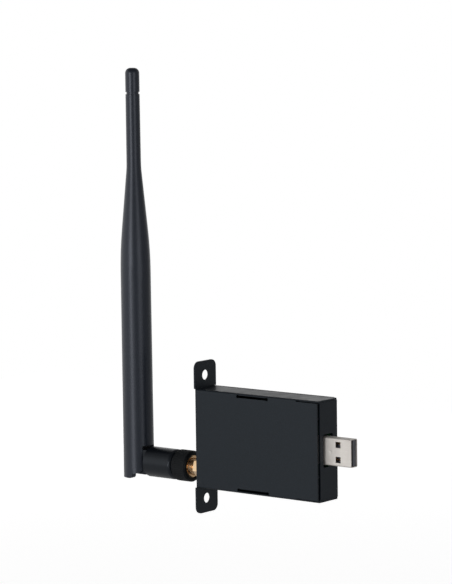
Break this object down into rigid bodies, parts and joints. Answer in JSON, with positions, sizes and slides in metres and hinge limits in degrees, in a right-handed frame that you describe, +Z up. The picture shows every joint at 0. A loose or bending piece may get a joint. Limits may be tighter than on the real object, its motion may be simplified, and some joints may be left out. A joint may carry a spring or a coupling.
{
  "type": "usb wi-fi dongle",
  "caption": "Flat folded-steel wireless adapter case with screw ears, a metal USB plug at one end and a hinged whip antenna on a threaded coaxial jack at the other.",
  "frame": {"origin": "midway between the ear holes, on the outer face of the plate that carries them", "axes": "+X towards the USB plug, square to the ear plate; +Z up, along the line of the ear holes and the upright antenna; -Y towards the cover's large face"},
  "size_m": [0.1259, 0.0154, 0.1942],
  "materials": {
    "powder_coat": "satin",
    "black_screw": "satin",
    "zinc_screw": "satin",
    "nickel_plate": "satin",
    "gold_plate": "polished",
    "plug_plastic": "satin",
    "ptfe": "satin",
    "board_green": "gloss",
    "chip_epoxy": "matte",
    "ferrite": "matte",
    "capacitor_yellow": "satin",
    "tin_plate": "satin",
    "nickel_brass": "satin",
    "socket_plastic": "satin",
    "coax_jacket": "satin",
    "black_sleeve": "satin",
    "black_elbow": "satin",
    "black_whip": "satin",
    "copper": "polished",
    "spring_steel": "satin"
  },
  "bodies": {
    "case": {"base_shell": "powder_coat", "cover_shell": "powder_coat", "cover_screws": "black_screw", "board_screws": "zinc_screw", "card_screws": "zinc_screw", "board_standoffs": "nickel_brass", "carrier_board": "board_green", "card_spacers": "nickel_brass", "radio_card": "board_green", "card_socket": "socket_plastic", "card_shield": "tin_plate", "radio_chip": "chip_epoxy", "voltage_regulator": "chip_epoxy", "power_inductor": "ferrite", "supply_capacitors": "capacitor_yellow", "usb_plug_shell": "nickel_plate", "usb_plug_insulator": "plug_plastic", "usb_contacts": "gold_plate", "bulkhead_jack": "gold_plate", "jack_insulator": "ptfe", "jack_contact": "gold_plate", "bulkhead_washer": "gold_plate", "bulkhead_nut": "gold_plate", "crimp_ferrule": "gold_plate", "card_coax_sockets": "gold_plate", "mini_coax_plug": "gold_plate", "pigtail_cable": "coax_jacket"},
    "connector": {"antenna_connector": "gold_plate", "connector_insulator": "ptfe", "centre_pin": "gold_plate", "retaining_ring": "spring_steel"},
    "coupling_nut": {"coupling_sleeve": "black_sleeve", "coupling_insert": "gold_plate"},
    "elbow": {"knuckle": "black_elbow", "lower_feed_cable": "coax_jacket"},
    "whip": {"whip_sleeve": "black_whip", "upper_feed_cable": "coax_jacket", "radiator_tube": "copper", "radiator_wire": "copper", "whip_spacers": "ptfe"}
  },
  "joints": [
    {"name": "antenna_draw", "type": "slide", "parent": "case", "child": "connector", "axis": [-1, 0, 0], "range_m": [0, 0.0043]},
    {"name": "nut_turn", "type": "hinge", "parent": "connector", "child": "coupling_nut", "pos_m": [-0.0106, 0, -0.014], "axis": [-1, 0, 0], "range_deg": [0, 2194]},
    {"name": "antenna_swivel", "type": "hinge", "parent": "connector", "child": "elbow", "pos_m": [-0.0148, 0, -0.014], "axis": [1, 0, 0], "continuous": true},
    {"name": "whip_tilt", "type": "hinge", "parent": "elbow", "child": "whip", "pos_m": [-0.0383, 0, -0.014], "axis": [0, -1, 0], "range_deg": [0, 90]}
  ],
  "couplings": [
    {"joint": "nut_turn", "follows": "antenna_draw", "rad_per_m": 8905.3}
  ]
}
